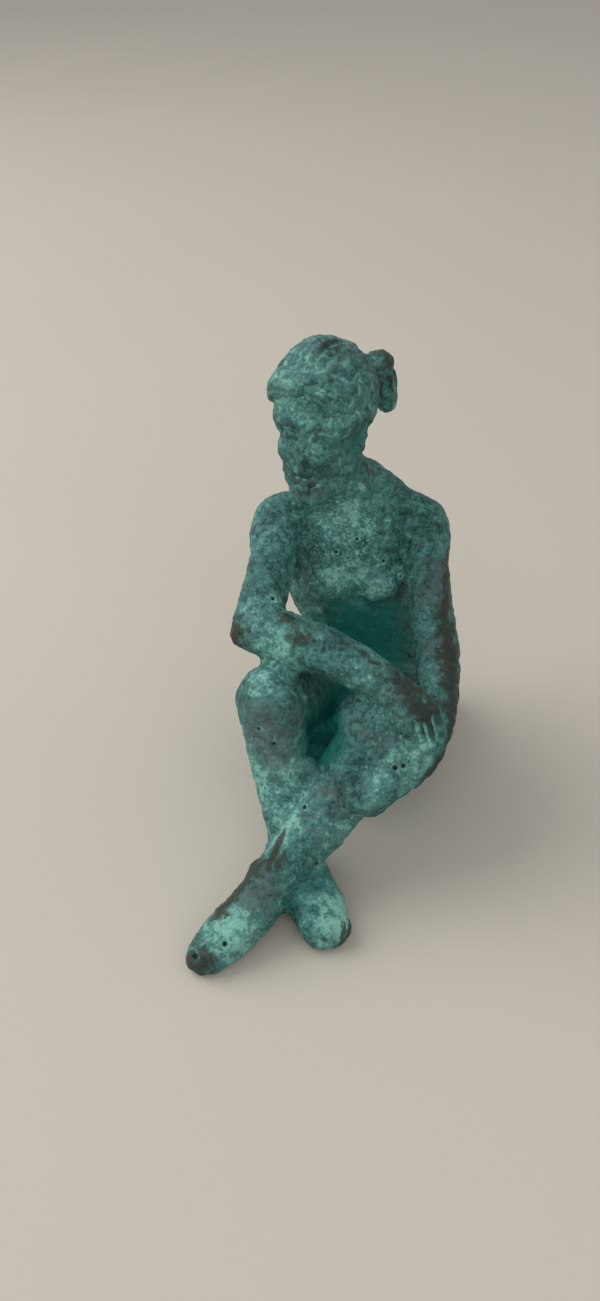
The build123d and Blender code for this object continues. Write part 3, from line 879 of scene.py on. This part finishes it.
# ---- finishes
class Finish:
    """A material, and short ways to add nodes to it. Places in its textures are in millimetres."""

    def __init__(self, name):
        self.material = bpy.data.materials.new(name)
        self.material.use_nodes = True
        self.tree = self.material.node_tree
        self.tree.nodes.clear()
        self.shader = self.node("BsdfPrincipled")
        self.node("OutputMaterial", {"Surface": self.shader.outputs["BSDF"]})
        place = self.node("TexCoord").outputs["Object"]
        self.place = self.node("VectorMath", {0: place, "Scale": 1.0 / MM}, operation="SCALE").outputs[0]

    def node(self, kind, inputs=(), **settings):
        """A new node, with its settings, and its inputs by name or number: values, or outputs of others."""
        node = self.tree.nodes.new("ShaderNode" + kind)
        for name, value in settings.items():
            setattr(node, name, value)
        for name, value in dict(inputs).items():
            self.fill(node.inputs[name], value)
        return node

    def fill(self, socket, value):
        if isinstance(value, bpy.types.NodeSocket):
            self.tree.links.new(value, socket)
        elif socket.type == "RGBA":
            socket.default_value = (*value, 1.0)
        else:
            socket.default_value = value

    def finish(self, **inputs):
        """Fills the shader's inputs, whose names are given with _ for spaces."""
        for name, value in inputs.items():
            self.fill(self.shader.inputs[name.replace("_", " ")], value)
        return self.material

    def math(self, operation, a, b):
        return self.node("Math", {0: a, 1: b}, operation=operation).outputs[0]

    def times(self, a, b):
        return self.math("MULTIPLY", a, b)

    def total(self, *terms):
        """The sum of some values, where a pair is a value and its weight."""
        parts = [self.times(*term) if isinstance(term, tuple) else term for term in terms]
        total = parts[0]
        for part in parts[1:]:
            total = self.math("ADD", total, part)
        return total

    def step(self, value, low, high):
        """0 below low, 1 above high, and smooth between them."""
        inputs = {"Value": value, "From Min": low, "From Max": high}
        return self.node("MapRange", inputs, interpolation_type="SMOOTHSTEP").outputs["Result"]

    def noise(self, size, detail=3.0, roughness=0.55, shift=0.0, warp=0.0):
        """Noise about size millimetres across, from about -0.5 to 0.5."""
        moved = {0: self.place, 1: (shift, -shift * 0.7, shift * 1.3)}
        place = self.node("VectorMath", moved, operation="ADD").outputs[0]
        noise = self.node("TexNoise", {"Vector": place, "Scale": 1.0 / size, "Detail": detail,
                                       "Roughness": roughness, "Distortion": warp})
        return self.math("SUBTRACT", noise.outputs["Fac"], 0.5)

    def tint(self, name):
        return self.node("Attribute", attribute_name=name).outputs["Fac"]

    def mix(self, share, a, b):
        return self.node("Mix", {"Factor": share, 6: a, 7: b}, data_type="RGBA").outputs[2]

    def bump(self, height, depth):
        """Presses the finish in or out by height, where 1 is depth millimetres."""
        inputs = {"Strength": 1.0, "Distance": depth * MM, "Height": height}
        self.finish(Normal=self.node("Bump", inputs).outputs["Normal"])


def verdigris():
    """Green bronze: mint in the creases, brown with wear, darker in the hollows, and painted shade and painted
    light in places.
    """
    f = Finish("verdigris")
    broad, other = f.noise(9.0, 2.0), f.noise(4.5, 4.0, 0.6, 83.0, 0.8)
    middling, fine = f.noise(2.6, 4.0, 0.6, 31.0, 0.5), f.noise(0.9, 4.0, 0.65, 57.0)
    ridge, form, hollow, mint, deep = (f.tint(name) for name in ("ridge", "form", "hollow", "mint", "deep"))
    # from dark green to teal to mint, darker in the wide hollows, partly as patina and partly as painted
    # shade, and lighter where mint is painted
    light = f.total((broad, 0.9), (middling, 1.5), (fine, 1.5), (hollow, -0.5), (mint, 0.36),
                    (ridge, -0.7), 0.36)
    colour = (0.009, 0.044, 0.041)
    for low, high, lighter in ((0.02, 0.34, (0.028, 0.110, 0.102)), (0.30, 0.62, (0.064, 0.205, 0.190)),
                               (0.62, 1.0, (0.200, 0.465, 0.405))):
        colour = f.mix(f.step(light, low, high), colour, lighter)
    # coats over it, each where it is, how much it hides, and its colour
    grey = f.step(f.total(f.tint("violet"), (other, 1.4), (fine, 1.1), (hollow, -0.6)), 0.28, 0.66)
    crease = f.total((ridge, -4.2), (middling, 0.8), (fine, 1.4), (mint, 0.30), (hollow, -0.6))
    caught = f.step(crease, 0.40, 0.85)
    # painted shade: a dark saturated green where the deep tint is painted
    shaded = f.step(f.total(deep, (other, 0.9), (fine, 0.7)), 0.15, 0.75)
    # painted light: a brighter green where the deep tint is strongest, in the lap, which the lamps leave too
    # dark
    painted_light = f.step(f.total(deep, (other, 0.9)), 0.95, 1.5)
    # brown with wear on ridges and where it is painted, and painted shade on the neck
    wear_and_shade_level = f.total(f.tint("wear_and_shade"), (ridge, 1.9), (other, -1.2), (fine, 1.4), (form, 0.6))
    brown = f.step(wear_and_shade_level, 0.34, 0.76)
    copper = f.step(f.total(wear_and_shade_level, (middling, 2.2)), 1.12, 1.40)
    hole = f.step(f.tint("hole"), 0.35, 0.85)
    distance = f.node("TexVoronoi", {"Vector": f.place, "Scale": 1.1}).outputs["Distance"]
    grainy = f.step(f.total(f.tint("grainy"), (broad, 0.8)), 0.35, 0.7)
    grains = f.times(f.math("LESS_THAN", distance, 0.22), grainy)
    for share, strength, coat in (
            (grey, 0.65, (0.078, 0.100, 0.110)),
            (caught, 0.55, (0.220, 0.500, 0.435)),
            # painted shade
            (shaded, 0.90, (0.004, 0.175, 0.145)),
            # painted light in the lap
            (painted_light, 1.0, (0.030, 0.420, 0.370)),
            # brown wear, and painted shade on the neck
            (brown, 0.88, (0.020, 0.024, 0.018)),
            (copper, 0.7, (0.130, 0.050, 0.028)),
            (hole, 1.0, (0.004, 0.016, 0.014)),
            (grains, 0.5, (0.50, 0.68, 0.63))):
        colour = f.mix(f.times(share, strength), colour, coat)
    f.bump(f.total((fine, 1.0), f.noise(0.45, 2.0, 0.5, 11.0), (caught, 0.3)), 0.38)
    return f.finish(
        Base_Color=colour, Metallic=f.total((brown, 0.22), (copper, 0.35)), Specular_IOR_Level=0.3,
        Roughness=f.total(0.60, (brown, -0.14), (fine, 0.25), (caught, 0.12)))


def bare_bronze():
    """The fittings: turned bronze, browned with age."""
    f = Finish("bare_bronze")
    broad, fine = f.noise(2.5, 3.0), f.noise(0.5, 3.0, 0.6, 19.0)
    age = f.step(f.total(broad, (fine, 0.5)), -0.25, 0.3)
    colour = f.mix(age, (0.105, 0.055, 0.024), (0.30, 0.165, 0.070))
    f.bump(fine, 0.05)
    return f.finish(Base_Color=colour, Metallic=0.85, Roughness=f.total(0.42, (broad, 0.3)))


def paper():
    """The pale floor."""
    f = Finish("floor")
    tone = f.total((f.noise(240.0, 2.0), 0.5), (f.noise(1.6, 2.0), 0.12), 0.5)
    colour = f.mix(tone, (0.470, 0.445, 0.400), (0.530, 0.500, 0.450))
    return f.finish(Base_Color=colour, Roughness=0.85, Specular_IOR_Level=0.2)


# ---- the figure
join_castings()
sculpt_trunk()
for side in (-1, 1):
    sculpt_leg(side)
    sculpt_foot(side)
    sculpt_arm(side)
    sculpt_hand(side)
sculpt_face()
sculpt_hair()
sculpt_ponytail()
roughen()
pits = pit_all()
sit()

points, quads = skin()
normals = point_normals(points, quads)
left_shin, right_shin = (between(KNEES[side], ANKLES[side], 0.45) for side in (1, -1))
# places along the brown edge of the left arm, and in the mint about its hand
elbow_above, elbow_below = ELBOWS[1] + at(3, 6, 12), ELBOWS[1] + at(3, -6, 4)
cuff, thumb = WRISTS[1] + at(7, 12, 6), PALMS[1] + at(-6, -4, 7)
tints = {
    "ridge": curving(points, 0.8),
    "form": curving(points, 2.4, 2),
    # how enclosed each point is, over a wide reach: it darkens the green, partly as patina and partly as
    # painted shade
    "hollow": -curving(points, 6.0, 4),
    # pale mint patina in patches; the three patches on the chest, which lies in the figure's own shade, are
    # painted light
    "mint": painted(points, [
        (ANKLES[-1] + UP * 6, 12, 1.0), (right_shin, 13, 1.2), (TOES[-1] + at(3, 3, 3), 8, 1.9),
        (ANKLES[1] + at(3, 9, 10), 7, 1.2), (between(INSTEPS[1], TOES[1], 0.85) + at(2, -2, 4), 6, 0.9),
        (TOES[1] + at(4, 2, 4), 7, 1.8), (TIPS[-1] + at(-3, -3, 1), 5, 0.9),
        (KNEES[1] + at(9, -14, -3), 6, 0.9), (body(-10, -12, 82), 14, 0.85),
        (SKULL + at(-3, -12, 14), 6, 1.0), (body(-16, -6, 56), 8, 0.7), (KNEES[-1] + at(0, -2, 9), 6, 0.7),
        (ELBOWS[-1] + at(6, -8, -2), 8, 1.0), (body(-7, -14, 64), 12, 1.1),
        (SKULL + at(-2, -4, 15), 14, 0.9), *((place, radius * 2.4, 1.1) for place, radius in pits),
    ], [
        (thumb, TIPS[1] + at(-1, 0, 4), 2.4, 1.4), (PALMS[1] + at(2, -2, 9), thumb, 2.6, 1.2),
        (ANKLES[-1] + at(-4, 2, 6), between(KNEES[-1], ANKLES[-1], 0.5) + at(-7, -3, 0), 3.0, 1.2),
    ]),
    "hole": painted(points, ((place, radius * 1.05, 1.0) for place, radius in pits)),
    # painted shade: in the belly, the lap, inside the knees, between the feet, and on the neck and the face on
    # their side away from the window
    "deep": painted(points, [
        (body(-2, -12, 42), 16, 1.0), (body(-6, -36, 22), 17, 2.0), (body(8, -14, 48), 9, 0.7),
        (KNEES[1] + at(-11, 0, -6), 11, 0.9), (body(-8, -14, 54), 8, 0.6),
        (KNEES[-1] + at(11, 2, -10), 9, 0.6), (NECK + at(4, 0, -2), 8, 0.45),
        (SKULL + at(8, -6, -2), 9, 0.4), (ANKLES[1] + at(9, 4, -8), 10, 0.8),
    ]),
    "violet": painted(points, [
        (KNEES[-1] + at(0, -8, -4), 11, 0.7), (between(KNEES[-1], ANKLES[-1], 0.25) + at(0, -8, 0), 9, 0.6),
        (KNEES[1] + at(0, -6, 4), 11, 0.45), (left_shin + at(0, -3, 5), 12, 0.45),
        (SKULL + at(-2, -12, -12), 8, 0.4), (between(SHOULDERS[1], ELBOWS[1]) + LEFT * 4, 14, 0.5),
        (ELBOWS[1] + at(5, -6, 2), 12, 0.5), (INSTEPS[1] + UP * 5, 8, 0.5), (SKULL + at(2, 2, 14), 16, 0.35),
    ]),
    # brown wear on the toes, knuckles, elbows, crown, hair tie, ankle and left arm; the two patches on the
    # neck, on its side away from the window, are painted shade
    "wear_and_shade": painted(points, [
        (ELBOWS[-1] + at(-6, -3, 1), 6, 0.8), (TOES[1] + at(-5, -4, 0), 5, 0.75),
        (KNUCKLES[-1] + at(1, 0, 4), 6, 0.8), (PALMS[-1] + at(0, 0, 4), 7, 0.8), (HAIR_TIE, 7, 0.6),
        (SKULL + at(1, -2, 20), 6, 0.55), (SKULL + at(10, 2, 8), 11, 0.35),
        (TOES[-1] + at(7, -3, -2), 5, 0.9), (SKULL + at(-11, -3, 8), 5, 0.5), (NECK + at(7, 0, 4), 7, 0.35),
        (ANKLES[1] + at(-4, 0, 6), 7, 0.65), (ELBOWS[-1] + at(12, -10, 4), 4, 0.7),
        (TOES[-1] + at(6, -1, 0), 4, 1.0), (TOES[1] + at(-3, -3, 1), 4, 0.9), (NECK + at(7, -3, 4), 6, 0.5),
        (TIPS[1] + at(1, 2, -3), 5, 0.8),
    ], [
        (between(ELBOWS[-1], WRISTS[-1], 0.2) + UP * 7, WRISTS[-1] + UP * 4, 3.1, 0.72),
        (SHOULDERS[1] + at(6, -5, -6), elbow_above, 4.2, 0.7), (elbow_above, elbow_below, 4.5, 0.8),
        (elbow_below, cuff, 4.5, 0.85), (cuff, PALMS[1] + at(4, -4, -2), 4.0, 0.9),
        (PALMS[1] + at(1, -5, -6), TIPS[1] + at(4, 0, -3), 3.5, 0.8),
        (ANKLES[1] + at(-5, 2, 3), TOES[1] + at(1, 7, 7), 3.6, 0.9),
        (ANKLES[1] + at(-1, -2, 6), ANKLES[1] + at(3, 8, 10), 1.3, 1.0),
        (ANKLES[1] + at(3, 0, 5), ANKLES[1] + at(8, 8, 9), 1.6, 0.7),
    ]),
    "grainy": painted(points, [(body(-10, -13, 78), 15, 1.0), (SKULL + at(-3, -13, -14), 7, 0.5)]),
}
owners = owners_of(points, quads)
above_waist = points[quads].mean(axis=1)[:, 2] > body(0, 0, WAIST)[2]
owners[(owners == CASTINGS.index("trunk")) & above_waist] = len(CASTINGS)  # the trunk's upper half, last
green = verdigris()
for number, node in enumerate(CASTINGS + ["trunk"]):
    mesh = casting_mesh(node, points, quads[owners == number], normals, tints)
    piece = bpy.data.objects.new("bronze_" + node + ("_upper" if number == len(CASTINGS) else ""), mesh)
    bpy.context.scene.collection.objects.link(piece)
    mesh.materials.append(green)
    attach(piece, "root")
    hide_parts(node)

bronze = bare_bronze()
for node in FITTINGS:
    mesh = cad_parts[node].data
    mesh.materials.clear()
    mesh.materials.append(bronze)

# ---- floor, light and camera
low, high = (np.array(corner) for corner in CAD_BOX)
centre = (low + high) / 2
bpy.ops.mesh.primitive_plane_add(size=14.0, location=(0, 0, low[2]))
ground = bpy.context.object
ground.data.materials.append(paper())


def lamp(name, place, aim, size, power, colour):
    light = bpy.data.lights.new(name, "AREA")
    light.shape = "DISK"
    light.size = size
    light.energy = power
    light.color = colour
    holder = bpy.data.objects.new(name, light)
    holder.location = place
    holder.rotation_euler = (Vector(aim) - Vector(place)).to_track_quat("-Z", "Y").to_euler()
    bpy.context.scene.collection.objects.link(holder)


lamp("window", centre + at(-0.95, 0.25, 0.80), centre, 1.4, 13.0, (1.0, 0.97, 0.93))
lamp("room side", centre + at(0.10, -1.00, 0.60), centre, 1.2, 4.0, (1.0, 0.98, 0.95))

world = bpy.data.worlds.new("room")
bpy.context.scene.world = world
world.use_nodes = True
sky = world.node_tree.nodes["Background"]
sky.inputs["Color"].default_value = (1.0, 0.985, 0.95, 1.0)
sky.inputs["Strength"].default_value = 0.58

DOWN = np.radians(35.0)  # how far below level the camera looks
DISTANCE = 0.3308  # from the camera to what it looks at
aim = centre + at(-0.0107, 0.0006, -0.007)
camera = bpy.data.objects.new("camera", bpy.data.cameras.new("camera"))
camera.data.lens = 33.26
camera.data.sensor_width = 36.0
camera.data.clip_start = 0.01
camera.location = aim + at(0, -np.cos(DOWN), np.sin(DOWN)) * DISTANCE
camera.rotation_euler = (np.pi / 2 - DOWN, 0, 0)
bpy.context.scene.collection.objects.link(camera)
bpy.context.scene.camera = camera
bpy.context.scene.view_settings.view_transform = "Standard"
